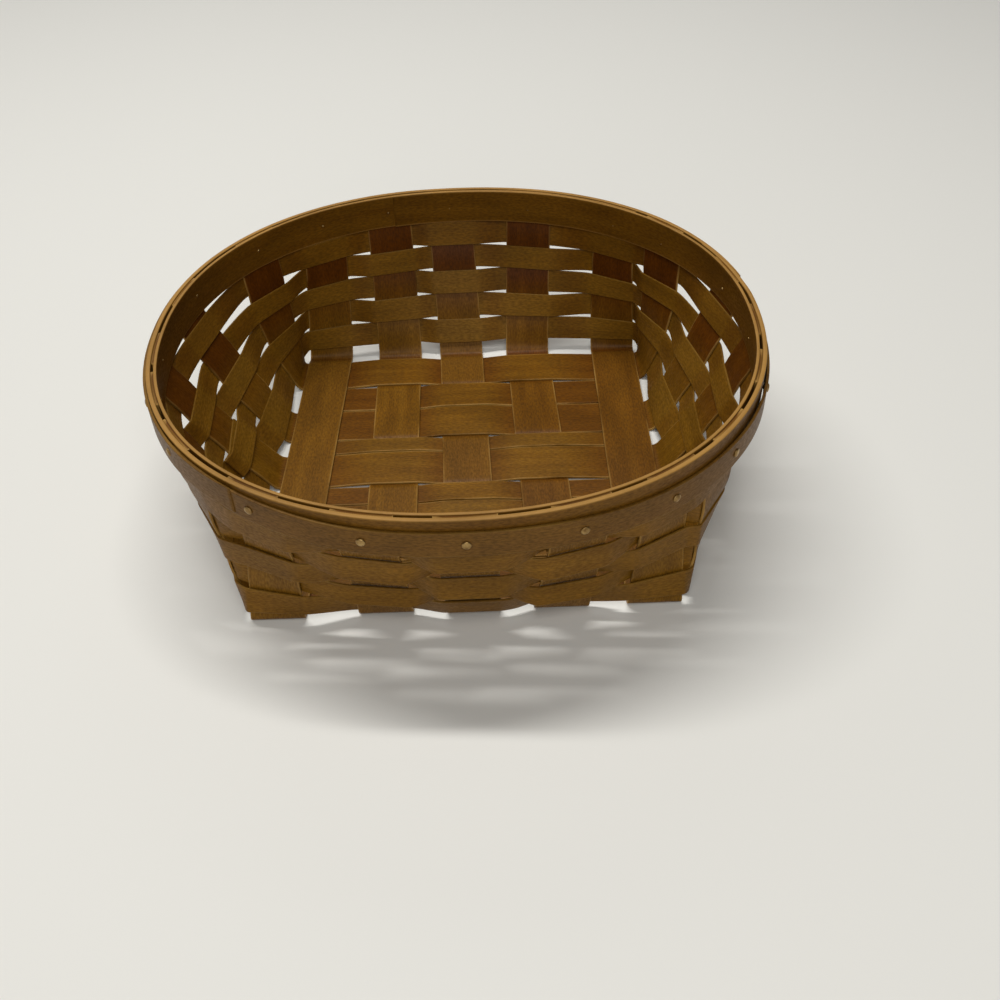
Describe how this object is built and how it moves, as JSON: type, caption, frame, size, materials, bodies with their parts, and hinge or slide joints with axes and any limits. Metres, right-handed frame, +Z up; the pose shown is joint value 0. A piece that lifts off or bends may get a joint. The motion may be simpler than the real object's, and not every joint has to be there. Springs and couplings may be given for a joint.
{
  "type": "woven basket",
  "caption": "Low open basket of stained wood splints with a woven square floor, woven walls and a round tacked rim, for holding food or small things.",
  "frame": {"origin": "on the table, under the middle of the rim", "axes": "+Z up, -Y towards the front, +X to the right, along the rim's longer width"},
  "size_m": [0.2935, 0.2778, 0.0925],
  "materials": {
    "stake_splint": "satin honey-brown stain on thin maple splint",
    "weaver_splint": "satin honey-brown stain on thin maple splint",
    "rim_wood": "satin honey-brown stain on bent wood bands",
    "tack_brass": "dull brass tack heads"
  },
  "bodies": {
    "root": {"lengthwise_stake_1": "stake_splint", "lengthwise_stake_2": "stake_splint", "lengthwise_stake_3": "stake_splint", "lengthwise_stake_4": "stake_splint", "lengthwise_stake_5": "stake_splint", "crosswise_stake_1": "stake_splint", "crosswise_stake_2": "stake_splint", "crosswise_stake_3": "stake_splint", "crosswise_stake_4": "stake_splint", "crosswise_stake_5": "stake_splint", "floor_filler_1": "stake_splint", "floor_filler_2": "stake_splint", "floor_filler_3": "stake_splint", "floor_filler_4": "stake_splint", "weaver_1": "weaver_splint", "weaver_2": "weaver_splint", "weaver_3": "weaver_splint", "weaver_4": "weaver_splint", "weaver_5": "weaver_splint", "inner_rim_band": "rim_wood", "outer_rim_hoop": "rim_wood", "trim_band": "rim_wood", "tacks": "tack_brass"}
  },
  "joints": []
}
